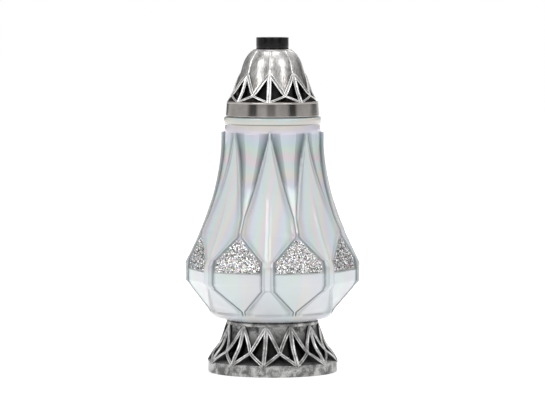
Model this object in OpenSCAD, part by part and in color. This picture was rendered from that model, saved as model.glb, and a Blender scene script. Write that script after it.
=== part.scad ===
// Grave lantern: a faceted, pearl-coated glass vase on a moulded foot, under a lift-off lid with a metal chimney.
// Millimetres, +Z up. The origin is the centre of the foot's underside, and the front is -Y.
// Azimuths are measured from +X. The glass has a corner at -Y, on the tip line of one of its lancets.

/* [Foot] */
// Radius of the plain rim that stands on the grave
foot_r = 57.8; // [57:0.1:59]
// Height of that rim
foot_rim_h = 10.3; // [9.5:0.1:11]
// Radius of the collar under the glass
foot_collar_r = 41.3; // [41:0.1:42]
// Height of the seat that carries the glass
foot_h = 46.4; // [46:0.1:46.4]
// Number of rib fans around the foot
foot_fans = 12; // [11:1:13]
// Turn of the foot against the glass, in degrees
foot_turn = -4.6; // [-15:0.1:15]

/* [Glass] */
// Underside of the glass
glass_z = 47; // [47:0.1:47.4]
// Number of sides, with a lancet, a dart, a glitter panel and a lower panel each
sides = 8; // [8:1:9]
// Radius over the upright posts of the girdle
girdle_r = 78.3; // [77:0.1:80]
// Lower end of the girdle posts
girdle_low = 82.2; // [81:0.1:83]
// Upper end of the girdle posts
girdle_top = 98.3; // [97.5:0.1:99]
// Radius of the lancets near their tips
shoulder_r = 45.3; // [44.5:0.1:46]
// Height of the tips of the lancets
lancet_z = 215; // [214:0.5:216]
// Radius of the nodes where neighbouring lancets meet
node_r = 66.5; // [65.5:0.1:67]
// Height of those nodes
node_z = 128.4; // [127:0.1:130]
// Radius of the toes where the lower panels end
toe_r = 58; // [57:0.1:58.5]
// Height of those toes
toe_z = 55.5; // [55:0.1:56]
// Height of the raised rims along the edges of the facets
rim_h = 0.8; // [0.5:0.1:1.2]
// Half the width of those rims
rim_w = 1.9; // [1.4:0.1:2.4]
// Depth of the recesses for the glitter panels
recess = 1.3; // [1.2:0.1:1.6]
// Radius of the ring bead that the lid stands on
bead_r = 43.6; // [43.4:0.1:44]
// Outer radius of the plain neck inside the lid
neck_r = 38; // [37.5:0.1:38.2]
// Top of the neck
neck_top = 240; // [238:0.5:240]

/* [Lid] */
// Underside of the hem
hem_z = 229.5; // [229.4:0.1:230]
// Radius of the hem at its lower edge
hem_r = 41.8; // [41.5:0.1:42.5]
// Inner radius of the hem, which slides over the neck
hem_inner_r = 39; // [38.8:0.1:39.2]
// Distance of each lobe's own axis from the axis of the lantern
lobe_offset = 10; // [8:0.5:11]
// Number of lobes, and of rib fans between them
lid_fans = 8; // [8:1:9]
// Turn of the lid against the glass, in degrees
lid_turn = -2; // [-20:0.1:20]

/* [Chimney] */
// Outer radius of the chimney tube
chimney_r = 14.5; // [14:0.1:14.6]
// Top of the chimney, the full height of the lantern
chimney_top = 300; // [298:0.5:302]
// Thickness of the sheet metal
sheet = 0.6; // [0.5:0.1:0.7]
// Radius of the heat shield under the dome
shield_r = 25.5; // [22:0.5:25.5]

/* [Candle insert] */
// Outer radius of the cup at its top
cup_r = 27; // [25:0.5:27]
// Height of the cup
cup_h = 63.5; // [50:0.5:64]
// Wall of the cup
cup_wall = 1; // [0.8:0.1:1.2]
// Radius of the wick
wick_r = 1.2; // [1:0.1:1.5]
// Radius of the flame opening in the insert's cover
flame_hole_r = 10; // [8:0.5:14]

/* [Hidden] */

$fn = 96;
// Clearance between pieces that touch, and the length by which a cut runs past a face
gap = 0.05;
over = 1;

// Foot, as [radius, height]: the outside of the flare, the floor of its pockets and its inside
foot_pitch = 360 / foot_fans;
flare = [
    [foot_r, foot_rim_h], [55.8, 13.9], [53.6, 17.2], [50.9, 20.4], [48.5, 23.6], [46.7, 26.8],
    [45.3, 30.2], [43.9, 34], [42.7, 37.6], [foot_collar_r + 0.4, 41.2],
];
pocket_floor = [
    [foot_r - 0.8, foot_rim_h + 0.3], [51.4, 13.6], [46.6, 18.2], [43.2, 24], [41.2, 31],
    [40.2, 37], [39.8, 43],
];
foot_inside = [
    [foot_r - 3, -over], [foot_r - 3, 7.6], [49.8, 11.4], [44.9, 16.2], [41.2, 22.6], [39, 30.2],
    [38, 36.8], [37.6, 43],
];
foot_bore_r = 24;
foot_apex_z = 43;
foot_node_z = 20.6;
foot_rib_w = 4;
foot_thin_rib_w = 3.2;
foot_panel_depth = 1.1;

// Glass: the corner of the facets under the posts' raised face, and the flat sides between corners
half = 180 / sides;
corner_r = girdle_r - rim_h;
facet_r = corner_r * cos(half);
post_w = 4.6;
post_top = girdle_top + 5.5;
post_low = girdle_low - 4;
tip_w = 0.7;
ridge_w = 2.7;
ridge_top_z = 165;
panel_z = 92.7;
throat_z = 222.3;
throat_r = 42.4;
flare_z = lancet_z - 10;
flare_power = 1.73;
dart_step = 2.2;
glass_floor = 54;
mouth_r = 34.5;
// Rings of points from the tips of the lancets down to the toes
ring_z = [
    lancet_z, 208, 199, 190, 180, 171, ridge_top_z, 157, 149, 141, 134, node_z, 121, 113, post_top + 0.6,
    post_top, girdle_top, panel_z + 0.3, panel_z - 0.7, girdle_low, post_low, post_low - 0.6, 68, 61, toe_z,
];
// Rings of the rounded heel, as [height, radius, how much flatter it is at the corners]
heel = [[53.4, 57.2, 3], [51.3, 55, 1.5], [49.4, 51.6, 0.6], [47.9, 46.8, 0.1], [glass_z, 42.5, 0]];
// Inside of the glass, which follows the outside as a blown wall does
cavity = [
    [0, glass_floor], [32, glass_floor], [40, 56], [46, 59.6], [54, 67], [61.5, 75.6],
    [66.4, 83], [67.9, 90], [67, 98.3], [64.6, 110],
    for (z = [120:10:200]) [lancet_r(z) - 4.2, z],
    [38.6, 214], [37.6, 221], [36, 227], [mouth_r, 231], [mouth_r, neck_top + over], [0, neck_top + over],
];

// Lid: the outside of a lobe along its middle, the inside of the dome and the sloping sill of its windows
lid_pitch = 360 / lid_fans;
hem_top = 242.4;
hem_top_r = 40.7;
dome_top = 289.3;
dome_out = [
    [40.3, hem_top], [38.2, 246.6], [35.9, 250.6], [34.2, 254.6], [32.9, 258.2], [31.5, 262],
    [29.8, 266.6], [28.5, 271], [27.3, 275.4], [25.7, 279.6], [23.6, 283.2], [21, 286.4],
    [18.6, 288.4], [16.4, dome_top],
];
dome_in = [
    [hem_inner_r, hem_z - over], [hem_inner_r, neck_top + 0.6], [34.4, neck_top + 0.8], [33.6, 246],
    [31.4, 253], [27.8, 262], [24.6, 272.6], [21.4, 280], [17.8, 285.4], [17, dome_top - 2.8],
];
sill = [[hem_top_r, hem_top + 0.4], [33, 245.8]];
lobe_steps = 8;
lid_apex_z = 267.8;
lid_node_z = 248;
lid_rib_w = 4.1;
lid_diagonal_w = 3.6;
lid_short_w = 2;

cup_z = glass_floor + 0.2;
cup_top = cup_z + cup_h;
cup_draft = 1.4;
cup_floor = 1.2;
wax_top = cup_top - 3.3;
holder_r = 12;

function plan(r, a) = [r * cos(a), r * sin(a)];

// Value at z on the straight line between (za, a) and (zb, b), held at both ends
function blend(z, za, a, zb, b) = a + (b - a) * max(0, min(1, (z - za) / (zb - za)));

// Radius at height z in a table of [radius, height] whose heights rise
function table_r(table, z, i = 0) =
    i + 2 >= len(table) || z <= table[i + 1].y
        ? blend(z, table[i].y, table[i].x, table[i + 1].y, table[i + 1].x)
        : table_r(table, z, i + 1);

// Distance from the axis, along azimuth a, to the straight line through two plan points
function ray(a, p, q) = (p.x * q.y - p.y * q.x) / (cos(a) * (q.y - p.y) - sin(a) * (q.x - p.x));

// Radius down the middle of a lancet and of the kite below it: upright at the tip, then a sweeping flare
function lancet_r(z) =
    shoulder_r + (corner_r - shoulder_r) * pow(max(0, flare_z - z) / (flare_z - girdle_top), flare_power);

// How far down a lancet height z is, from 0 at its tip to 1 at the nodes
function down(z) = (lancet_z - z) / (lancet_z - node_z);

// The facets' edge at height z as a plan point: down the lancet, the kite, the post and the lower panel
function edge(z) =
    z >= node_z ? plan(
        lancet_r(z) * (1 + (node_r / lancet_r(node_z) - 1) * pow(down(z), 2)),
        half * (1.12 * down(z) - 0.12 * pow(down(z), 3)))
    : z >= girdle_low ? mix_points(plan(node_r, half), [corner_r, 0], (node_z - z) / (node_z - girdle_top))
    : mix_points([corner_r, 0], plan(toe_r, half), (girdle_low - z) / (girdle_low - toe_z));
function mix_points(p, q, t) = p + (q - p) * min(1, t);

// Radius on a corner's own line, and at the middle of the side between two corners
function corner_line(z) =
    z >= girdle_top ? lancet_r(z) : z > girdle_low ? corner_r : edge(z).x;
function side_middle(z) =
    z >= node_z ? norm(edge(z)) - 0.4 - dart_step * (1 - down(z))
    : z >= girdle_low ? blend(z, panel_z, facet_r, node_z, node_r)
    : blend(z, toe_z, toe_r, girdle_low, facet_r);

// Radius at azimuth a of a side: the round darts between the lancets, and flat facets below them
function side_at(z, a) = z >= node_z ? side_middle(z) : side_middle(z) / cos(half - a);

// Half of one side at height z, from the corner's line to the side's middle, as plan points
function half_side(z) =
    let(
        is_post = z <= post_top && z >= post_low,
        e = edge(z),
        spread = asin((is_post ? post_w : blend(z, 190, rim_w, lancet_z, tip_w)) / norm(e)),
        crest = max(spread, min(half - spread - 0.9, atan2(e.y, e.x))),
        inner = max(0.5 * crest, crest - spread),
        ridge = min(0.5 * inner, asin(ridge_w / norm(e))),
        outer = is_post ? crest + 0.7 : crest + spread,
        step = z < node_z ? 1 : 0.5 * (half - outer),
        foot_of_rim = min(outer + step, 0.5 * (outer + half)),
        sunk = z < node_z && z > panel_z ? recess : 0,
        corner = [corner_line(z), 0],
        face = corner.x + rim_h,
        rim_foot = plan(norm(e), crest),
        raise = z > girdle_top ? rim_h * blend(z, 150, 1, ridge_top_z, 0) : 0
    )
    [
        [is_post ? face : corner.x + raise, 0],
        plan(is_post ? face / cos(ridge) : ray(ridge, corner, rim_foot), ridge),
        plan(is_post ? face / cos(inner) : ray(inner, corner, rim_foot), inner),
        plan(is_post ? (face - rim_h) / cos(crest) : norm(e) + rim_h, crest),
        plan(side_at(z, outer), outer),
        plan(side_at(z, foot_of_rim) - sunk / cos(half - foot_of_rim), foot_of_rim),
        plan(side_middle(z) - sunk, half),
    ];

// Azimuths of the points of half_side, for rings that are nearly round
function azimuths(z) = [for (p = half_side(z)) atan2(p.y, p.x)];

// A whole ring of points from half a side: each half is mirrored, and turned to every corner
function whole_ring(points, z) = [
    for (i = [0:sides - 1], j = [-(len(points) - 2):len(points) - 1])
        let(p = points[abs(j)], q = [p.x, sign(j) * p.y], a = i * 2 * half)
        [q.x * cos(a) - q.y * sin(a), q.x * sin(a) + q.y * cos(a), z]
];
function round_half(r, flat, z) = [for (a = azimuths(z)) plan(r - flat * (1 - a / half), a)];

glass_rings = [
    whole_ring(round_half(throat_r - 0.1, 0, lancet_z), throat_z + 0.6),
    whole_ring(round_half(side_middle(lancet_z) + 0.2, 0, lancet_z), lancet_z + 1),
    for (z = ring_z) whole_ring(half_side(z), z),
    for (h = heel) whole_ring(round_half(h[1], h[2], toe_z), h[0]),
];

// Radius of the lobed dome at height z, at azimuth a from a lobe's middle: a circle about the lobe's own axis
function lobe_r(z, a) =
    lobe_offset * cos(a) + sqrt(pow(table_r(dome_out, z) - lobe_offset, 2) - pow(lobe_offset * sin(a), 2));
dome_rings = [
    for (z = [for (i = [len(dome_out) - 1:-1:0]) dome_out[i].y, hem_top - 2])
        [for (i = [0:lid_fans - 1], j = [0:lobe_steps - 1])
            let(a = (j / lobe_steps - 0.5) * lid_pitch, r = lobe_r(z, a), turn = (i + 0.5) * lid_pitch + a)
            [r * cos(turn), r * sin(turn), z]],
];

// A closed solid through rings of equal length that go downwards, with a flat top and bottom
module loft(rings) {
    n = len(rings[0]);
    last = len(rings) - 1;
    top = len(rings) * n;
    polyhedron(
        points = [
            for (r = rings) each r,
            [0, 0, rings[0][0].z],
            [0, 0, rings[last][0].z],
        ],
        faces = [
            for (i = [0:last - 1], j = [0:n - 1]) let(k = (j + 1) % n)
                each [[i * n + j, i * n + k, (i + 1) * n + j], [i * n + k, (i + 1) * n + k, (i + 1) * n + j]],
            for (j = [0:n - 1]) let(k = (j + 1) % n)
                each [[top, k, j], [top + 1, last * n + j, last * n + k]],
        ]
    );
}

// A straight rib in an outline, from p to q
module strip(p, q, w) {
    side = [-(q - p).y, (q - p).x] / norm(q - p) * w / 2;
    polygon([p + side, q + side, q - side, p - side]);
}

// Cuts an outline, given in [along, height] as seen from outside at azimuth a, through the wall
module cut_wall(a, from_r, to_r) {
    rotate(a) translate([from_r, 0, 0]) rotate([90, 0, 90]) linear_extrude(to_r - from_r) children();
}

// Point of a surface, at azimuth a and height z, as seen from outside at azimuth view
function seen(table, a, z, view) = [table_r(table, z) * sin(a - view), z];

// The two windows on either side of a fan's middle rib, and the one under the node beside it
module fan_windows(table, pitch, apex_z, node_z, base_z, middle_w, diagonal_w, short_w, to_r) {
    for (s = [-1, 1]) {
        view = s * pitch / 6;
        apex = seen(table, 0, apex_z, view);
        base = seen(table, 0, base_z, view);
        beside = seen(table, s * pitch / 2, node_z, view);
        cut_wall(view, 10, to_r) difference() {
            polygon([apex, base, beside]);
            strip(apex, base, middle_w);
            strip(apex, beside, diagonal_w);
            strip(base, beside, short_w);
        }
    }
    view = pitch / 2;
    tip = seen(table, view, node_z, view);
    left = seen(table, 0, base_z, view);
    right = seen(table, pitch, base_z, view);
    cut_wall(view, 10, to_r) difference() {
        polygon([tip, left, right]);
        strip(left, tip, short_w);
        strip(right, tip, short_w);
        strip([left.x, tip.y], [left.x, left.y], middle_w);
        strip([right.x, tip.y], [right.x, right.y], middle_w);
    }
}

// The solid panel between two fans, inside their diagonal ribs
module fan_panel(table, pitch, apex_z, node_z, diagonal_w, to_r) {
    view = pitch / 2;
    tip = seen(table, view, node_z, view);
    left = seen(table, 0, apex_z, view);
    right = seen(table, pitch, apex_z, view);
    cut_wall(view, 10, to_r) difference() {
        polygon([tip, left, right]);
        strip(left, tip, diagonal_w);
        strip(right, tip, diagonal_w);
    }
}

// A ring of material outside the surface of a table, lifted by depth inwards
module outside_of(table, depth, to_r) {
    low = table[0].y;
    high = table[len(table) - 1].y;
    rotate_extrude() polygon([for (p = table) [p.x - depth, p.y], [to_r, high], [to_r, low]]);
}

module foot() {
    color("darkgray") difference() {
        rotate_extrude() polygon([
            [foot_r, 0], each flare, [foot_collar_r, foot_h - 0.6], [foot_collar_r - 0.6, foot_h],
            [0, foot_h], [0, 0],
        ]);
        rotate_extrude() polygon([[0, -over], each foot_inside, [0, 43]]);
        translate([0, 0, 40]) cylinder(r = foot_bore_r, h = 10);
        intersection() {
            outside_of(pocket_floor, 0, foot_r + 4);
            for (i = [0:foot_fans - 1]) rotate(foot_turn + i * foot_pitch)
                fan_windows(flare, foot_pitch, foot_apex_z, foot_node_z, foot_rim_h, foot_rib_w,
                    foot_thin_rib_w, foot_thin_rib_w, foot_r + 3);
        }
        intersection() {
            outside_of(flare, foot_panel_depth, foot_r + 4);
            for (i = [0:foot_fans - 1]) rotate(foot_turn + i * foot_pitch)
                fan_panel(flare, foot_pitch, foot_apex_z, foot_node_z, foot_thin_rib_w, foot_r + 3);
        }
    }
}

module seat_bead() {
    color("gainsboro") rotate_extrude() polygon([
        [30, foot_h], [38, foot_h], [38.4, (foot_h + glass_z) / 2], [38, glass_z], [30, glass_z],
    ]);
}

module glass() {
    color("lightcyan", 0.5) difference() {
        union() {
            loft(glass_rings);
            rotate_extrude() polygon([
                [0, 215], [throat_r - 2, 215], [throat_r - 2, throat_z - 0.5], [throat_r + 0.4, throat_z],
                [bead_r - 0.5, 223.2], [bead_r, 224.6], [bead_r, 227.2], [bead_r - 0.9, 228.7],
                [hem_r - 0.2, 229.2], [neck_r + 0.6, 229.2], [neck_r, 229.8], [neck_r, neck_top - 0.8],
                [neck_r - 0.8, neck_top], [0, neck_top],
            ]);
        }
        rotate_extrude() polygon(cavity);
        rotate_extrude() polygon([[0, glass_z - over], [27, glass_z - over], [27, glass_z], [20, 48.6], [0, 49.4]]);
    }
}

// One side's panel lies on the slanting floor of its recess, and is narrower than the recess all round
module glitter_panels() {
    thickness = 0.7;
    low = panel_z + 0.8;
    lean = atan2(facet_r - node_r, node_z - panel_z);
    top_r = node_r - recess;
    length = (node_z - low) / cos(lean);
    color("silver") for (i = [0:sides - 1]) rotate((i + 0.5) * 2 * half)
        translate([top_r + gap, 0, node_z]) rotate([0, 90 - lean, 0]) linear_extrude(thickness)
            polygon([
                [7, -0.9], [length - 5.6, -panel_half(length - 5.6)], [length, -panel_half(length - 5.6)],
                [length, panel_half(length - 5.6)], [length - 5.6, panel_half(length - 5.6)], [7, 0.9],
            ]);
}

// Half the width of a glitter panel at a distance along it from the node
function panel_half(s) = let(z = node_z - s, p = half_side(z)[5]) side_middle(z) * tan(half - atan2(p.y, p.x)) - 0.6;

module lid_shell() {
    color("silver") difference() {
        union() {
            rotate(lid_turn) loft(dome_rings);
            rotate_extrude() polygon([
                [0, hem_z], [hem_r - 0.4, hem_z], [hem_r, hem_z + 0.5], [hem_top_r, hem_top - 0.5],
                [hem_top_r - 0.5, hem_top], [0, hem_top],
            ]);
            translate([0, 0, dome_top - 3]) cylinder(r = chimney_r + 0.9, h = 3.2);
        }
        rotate_extrude() polygon([[0, hem_z - over], each dome_in, [0, dome_top - 2.8]]);
        translate([0, 0, 280]) cylinder(r = chimney_r + gap, h = 20);
        intersection() {
            rotate_extrude() polygon([sill[1], sill[0], [50, sill[0].y], [50, 280], [10, 280], [10, sill[1].y]]);
            for (i = [0:lid_fans - 1]) rotate(lid_turn + i * lid_pitch)
                fan_windows(dome_out, lid_pitch, lid_apex_z, lid_node_z, hem_top, lid_rib_w,
                    lid_diagonal_w, lid_short_w, 48);
        }
    }
}

module chimney() {
    low = 266;
    flange_z = dome_top - 2.8 - gap;
    color("dimgray") rotate_extrude() polygon([
        [chimney_r - sheet, low], [chimney_r, low], [chimney_r, flange_z - sheet],
        [16.6, flange_z - sheet], [16.6, flange_z], [chimney_r, flange_z],
        [chimney_r, chimney_top - 0.3], [chimney_r - 0.3, chimney_top],
        [chimney_r - sheet - 0.5, chimney_top], [chimney_r - sheet - 0.5, chimney_top - 0.8],
        [chimney_r - sheet, chimney_top - 1],
    ]);
}

module chimney_cap() {
    r = chimney_r - sheet - gap;
    top = chimney_top - 1.6;
    vents = 6;
    vent_r = 2;
    color("gray") difference() {
        rotate_extrude() polygon([
            [0, top - sheet], [r - sheet, top - sheet], [r - sheet, top - 4], [r, top - 4],
            [r, top - 0.3], [r - 0.3, top], [0, top],
        ]);
        for (i = [0:vents - 1]) rotate(i * 360 / vents) translate([8, 0, top - 2]) cylinder(r = vent_r, h = 4, $fn = 48);
        translate([0, 0, top - 2]) cylinder(r = vent_r, h = 4, $fn = 48);
    }
}

module heat_shield() {
    inner = chimney_r + gap;
    color("lightgray") rotate_extrude() polygon([
        [inner, 266], [inner, 271], [inner + sheet, 271], [inner + sheet, 267.4],
        [shield_r, 261.6], [shield_r, 260.9], [inner + sheet, 266],
    ]);
}

// Outer radius of the cup at height z
function cup_at(z) = blend(z, cup_z, cup_r - cup_draft, cup_top, cup_r);

module candle_cup() {
    floor_z = cup_z + cup_floor;
    color("white", 0.8) rotate_extrude() polygon([
        [0, cup_z], [cup_at(cup_z) - 1.5, cup_z], [cup_at(cup_z + 1.5), cup_z + 1.5], [cup_r, cup_top],
        [cup_r - cup_wall, cup_top], [cup_at(floor_z) - cup_wall, floor_z], [0, floor_z],
    ]);
}

module candle_wax() {
    low = cup_z + cup_floor + gap;
    color("ivory") difference() {
        rotate_extrude() polygon([
            [0, low], [cup_at(low) - cup_wall - gap, low], [cup_at(wax_top) - cup_wall - gap, wax_top],
            [0, wax_top],
        ]);
        translate([0, 0, low - over]) cylinder(r = wick_r + gap, h = cup_h);
        translate([0, 0, low - over]) cylinder(r = holder_r + gap, h = over + 0.5);
        translate([0, 0, low - over]) cylinder(r = wick_r + 0.6 + gap, h = over + 5);
    }
}

module candle_wick() {
    color("beige") translate([0, 0, cup_z + cup_floor + gap]) cylinder(r = wick_r, h = cup_top - 1.5 - cup_z - cup_floor);
}

module wick_holder() {
    low = cup_z + cup_floor + gap;
    color("lightsteelblue") rotate_extrude() polygon([
        [wick_r + gap / 2, low], [holder_r, low], [holder_r, low + 0.4], [wick_r + 0.6, low + 0.4],
        [wick_r + 0.6, low + 4.8], [wick_r + gap / 2, low + 4.8],
    ]);
}

module candle_cover() {
    inner = cup_r + gap;
    thin = 0.4;
    color("gold") rotate_extrude() polygon([
        [flame_hole_r, cup_top + gap], [inner, cup_top + gap], [inner, cup_top - 4], [inner + thin, cup_top - 4],
        [inner + thin, cup_top + thin], [flame_hole_r, cup_top + thin + gap],
    ]);
}

foot();
seat_bead();
glass();
glitter_panels();
lid_shell();
chimney();
chimney_cap();
heat_shield();
candle_cup();
candle_wax();
candle_wick();
wick_holder();
candle_cover();
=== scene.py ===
"""Grave lantern: pearl-coated glass vase, silvered openwork foot and lid, dark chimney and candle insert.

Lengths are in millimetres until a mesh is made, angles in degrees. The frame is the CAD model's own: +Z up, the
front towards -Y, azimuths measured from +X.
"""

import logging
import math
from dataclasses import dataclass, field
from enum import Enum
from typing import Callable

import bpy
import numpy as np
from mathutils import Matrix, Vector


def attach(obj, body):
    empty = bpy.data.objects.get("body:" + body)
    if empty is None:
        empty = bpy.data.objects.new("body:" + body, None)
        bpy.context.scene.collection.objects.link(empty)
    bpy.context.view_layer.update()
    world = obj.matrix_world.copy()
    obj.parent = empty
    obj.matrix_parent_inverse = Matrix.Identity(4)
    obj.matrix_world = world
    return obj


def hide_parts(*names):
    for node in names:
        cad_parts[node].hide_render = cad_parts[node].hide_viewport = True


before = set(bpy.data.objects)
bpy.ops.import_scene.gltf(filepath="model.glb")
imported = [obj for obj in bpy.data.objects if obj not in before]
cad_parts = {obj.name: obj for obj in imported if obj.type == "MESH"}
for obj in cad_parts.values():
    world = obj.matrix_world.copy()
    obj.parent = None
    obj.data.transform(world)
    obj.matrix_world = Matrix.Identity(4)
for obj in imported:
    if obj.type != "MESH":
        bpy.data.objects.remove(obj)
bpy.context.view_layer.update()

MM = 0.001
TINY = 1e-9
# Most of a leg that the round of a corner takes up
LEG_SHARE = 0.45
# The same for the vase's plan corners, and the rounding radius there
PLAN_SHARE, PLAN_RADIUS = 0.4, 0.45
# Steps for a surface's normal, in degrees and millimetres
NORMAL_TURN, NORMAL_RISE = 1.0, 0.3
Array = np.ndarray
Shade = tuple[float, float, float]
log = logging.getLogger("lantern")


class Body(str, Enum):
    """The CAD bodies that new pieces ride on. The candle's body carries only CAD nodes."""

    BASE = "base"
    LID = "lid"


# ---------------------------------------------------------------- surfaces


@dataclass
class Skin:
    """A closed surface: points in millimetres, four-sided and three-sided faces, and what is painted on its points."""

    points: Array
    quads: Array
    tris: Array
    paint: dict[str, Array] = field(default_factory=dict)

    def volume(self) -> float:
        """Signed volume inside the skin, which is negative where its faces point inwards."""
        q = self.quads
        tris = np.vstack([q[:, [0, 1, 2]], q[:, [0, 2, 3]], self.tris])
        a, b, c = (self.points[tris[:, i]] for i in range(3))
        return float(np.einsum("ij,ij->i", a, np.cross(b, c)).sum() / 6)

    def outward(self) -> "Skin":
        """The same skin with its faces turned outwards."""
        if self.volume() < 0:
            self.quads, self.tris = self.quads[:, ::-1], self.tris[:, ::-1]
        return self

    def repeated(self, count: int, turn: float = 0.0) -> "Skin":
        """Copies of the skin at equal steps around +Z.

        Args:
            count: How many copies stand around the axis.
            turn: Azimuth of the first copy, in degrees.

        Returns:
            One skin that holds all the copies.
        """
        angles = np.radians(turn + np.arange(count) * 360 / count)
        x, y, z = self.points.T
        points = np.stack(
            [
                np.cos(angles)[:, None] * x - np.sin(angles)[:, None] * y,
                np.sin(angles)[:, None] * x + np.cos(angles)[:, None] * y,
                np.broadcast_to(z, (count, len(z))),
            ],
            axis=-1,
        ).reshape(-1, 3)
        step = np.arange(count)[:, None, None] * len(self.points)
        return Skin(
            points,
            (self.quads[None] + step).reshape(-1, 4),
            (self.tris[None] + step).reshape(-1, 3),
            {k: np.concatenate([v] * count) for k, v in self.paint.items()},
        )


def joined(skins: list[Skin]) -> Skin:
    """One skin that holds several.

    Args:
        skins: The skins, which all carry the same kinds of paint.

    Returns:
        The joined skin.
    """
    starts = np.cumsum([0] + [len(s.points) for s in skins[:-1]])
    return Skin(
        np.vstack([s.points for s in skins]),
        np.vstack([s.quads + n for s, n in zip(skins, starts)]),
        np.vstack([s.tris + n for s, n in zip(skins, starts)]),
        {
            k: np.concatenate([s.paint[k] for s in skins])
            for k in skins[0].paint
        },
    )


def lofted(
    rings: Array,
    closed_along: bool = False,
    capped: bool = True,
    paint: dict[str, Array] | None = None,
) -> Skin:
    """A skin over a grid of points: each ring closes on itself, and the rings follow each other.

    Args:
        rings: Points of shape (rings, columns, 3).
        closed_along: Whether the last ring joins the first, as in a torus.
        capped: Whether the first and last ring are closed by a fan to their middle.
        paint: Values of shape (rings, columns) or (rings, columns, n), by name.

    Returns:
        The skin, with its faces outwards.
    """
    rows, columns = rings.shape[:2]
    points = rings.reshape(-1, 3)
    paint = {
        k: v.reshape(rows * columns, -1).squeeze(-1)
        if v.ndim == 2
        else v.reshape(rows * columns, -1)
        for k, v in (paint or {}).items()
    }
    i = np.arange(rows if closed_along else rows - 1)[:, None]
    j = np.arange(columns)[None]
    here, below = i * columns, ((i + 1) % rows) * columns
    after = (j + 1) % columns
    quads = np.stack(
        [here + j, here + after, below + after, below + j], axis=-1
    ).reshape(-1, 4)
    tris = np.zeros((0, 3), int)
    if capped and not closed_along:
        middles = np.stack([rings[0].mean(0), rings[-1].mean(0)])
        n = len(points)
        j, after = j[0], after[0]
        last = (rows - 1) * columns
        tris = np.vstack(
            [
                np.stack([np.full(columns, n), after, j], axis=-1),
                np.stack([np.full(columns, n + 1), last + j, last + after], axis=-1),
            ]
        )
        points = np.vstack([points, middles])
        paint = {
            k: np.concatenate(
                [v, v[:columns].mean(0, keepdims=True), v[-columns:].mean(0, keepdims=True)]
            )
            for k, v in paint.items()
        }
    return Skin(points, quads, tris, paint).outward()


def softened(
    line: Array, radius: float, steps: int = 3, closed: bool = False
) -> Array:
    """A polyline whose corners are rounded by short parabolas.

    Each corner P gives points A and B on its two legs, at most the radius and 45% of the leg away. The curve between
    them is (1-t)^2 A + 2t(1-t) P + t^2 B.

    Args:
        line: Corners of shape (corners, n).
        radius: Distance from a corner to the ends of its curve.
        steps: Points on each curve.
        closed: Whether the line is a loop.

    Returns:
        The rounded line. An open line keeps its two end points.
    """
    before, after = np.roll(line, 1, axis=0), np.roll(line, -1, axis=0)

    def towards(other: Array) -> Array:
        """Points on the legs towards the neighbouring corners."""
        leg = other - line
        length = np.linalg.norm(leg, axis=1, keepdims=True)
        return line + leg * np.minimum(LEG_SHARE, radius / np.maximum(length, TINY))

    t = np.linspace(0, 1, steps)[None, :, None]
    a, b, p = towards(before)[:, None], towards(after)[:, None], line[:, None]
    curves = (1 - t) ** 2 * a + 2 * t * (1 - t) * p + t**2 * b
    if closed:
        return curves.reshape(-1, line.shape[1])
    return np.vstack([line[:1], curves[1:-1].reshape(-1, line.shape[1]), line[-1:]])


def turned(
    profile: Array, columns: int = 192, radius: float = 0.3, closed: bool = False
) -> Skin:
    """A lathe-turned skin: a profile with rounded corners, carried around +Z.

    Args:
        profile: Corners as (radius, height).
        columns: Points around the axis.
        radius: Rounding of the profile's corners.
        closed: Whether the profile is a loop, as for a tube. An open one starts and ends near the axis.

    Returns:
        The turned skin, with its faces outwards.
    """
    line = softened(np.asarray(profile, float), radius, 4, closed)
    azimuth = np.radians(np.arange(columns) * 360 / columns)[None]
    r, z = line[:, :1], line[:, 1:]
    rings = np.stack(
        [r * np.cos(azimuth), r * np.sin(azimuth), np.broadcast_to(z, (len(line), columns))],
        axis=-1,
    )
    return lofted(rings, closed_along=closed)


def carried(
    path: Array, up: Array, profile: Array, width: Array, height: Array
) -> Skin:
    """A closed profile carried along a path.

    At each point of the path, a profile point (x, y) lies at path + x * width * side + y * height * up, where side is
    square to the path and to up. Profile points below zero keep their depth.

    Args:
        path: Points of shape (n, 3).
        up: Directions away from the surface that the path runs on, of shape (n, 3).
        profile: Loop of (x, y) points, with x from -0.5 to 0.5.
        width: Width at each point of the path.
        height: Height at each point of the path.

    Returns:
        The skin, closed at both ends.
    """
    along = np.gradient(path, axis=0)
    along /= np.linalg.norm(along, axis=1, keepdims=True)
    side = np.cross(along, up)
    side /= np.linalg.norm(side, axis=1, keepdims=True)
    up = np.cross(side, along)
    x = profile[None, :, :1] * width[:, None, None]
    y = profile[None, :, 1:] * np.where(profile[None, :, 1:] > 0, height[:, None, None], 1)
    rings = path[:, None] + side[:, None] * x + up[:, None] * y
    rail = np.broadcast_to(np.clip(profile[None, :, 1], 0, 1), rings.shape[:2])
    return lofted(rings, paint={"rail": rail.copy()})


def through(table: Array, height: Array) -> Array:
    """Radius at a height on a smooth curve through a table: cubic pieces whose slopes are the table's own gradient.

    Args:
        table: Rows of (radius, height) with rising heights.
        height: Heights of any shape, held at the table's ends.

    Returns:
        Radii of the same shape.
    """
    r, z = table[:, 0], table[:, 1]
    slope = np.gradient(r, z)
    height = np.clip(height, z[0], z[-1])
    i = np.clip(np.searchsorted(z, height) - 1, 0, len(z) - 2)
    step = z[i + 1] - z[i]
    t = (height - z[i]) / step
    return (
        (2 * t**3 - 3 * t**2 + 1) * r[i]
        + (t**3 - 2 * t**2 + t) * step * slope[i]
        + (3 * t**2 - 2 * t**3) * r[i + 1]
        + (t**3 - t**2) * step * slope[i + 1]
    )


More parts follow.
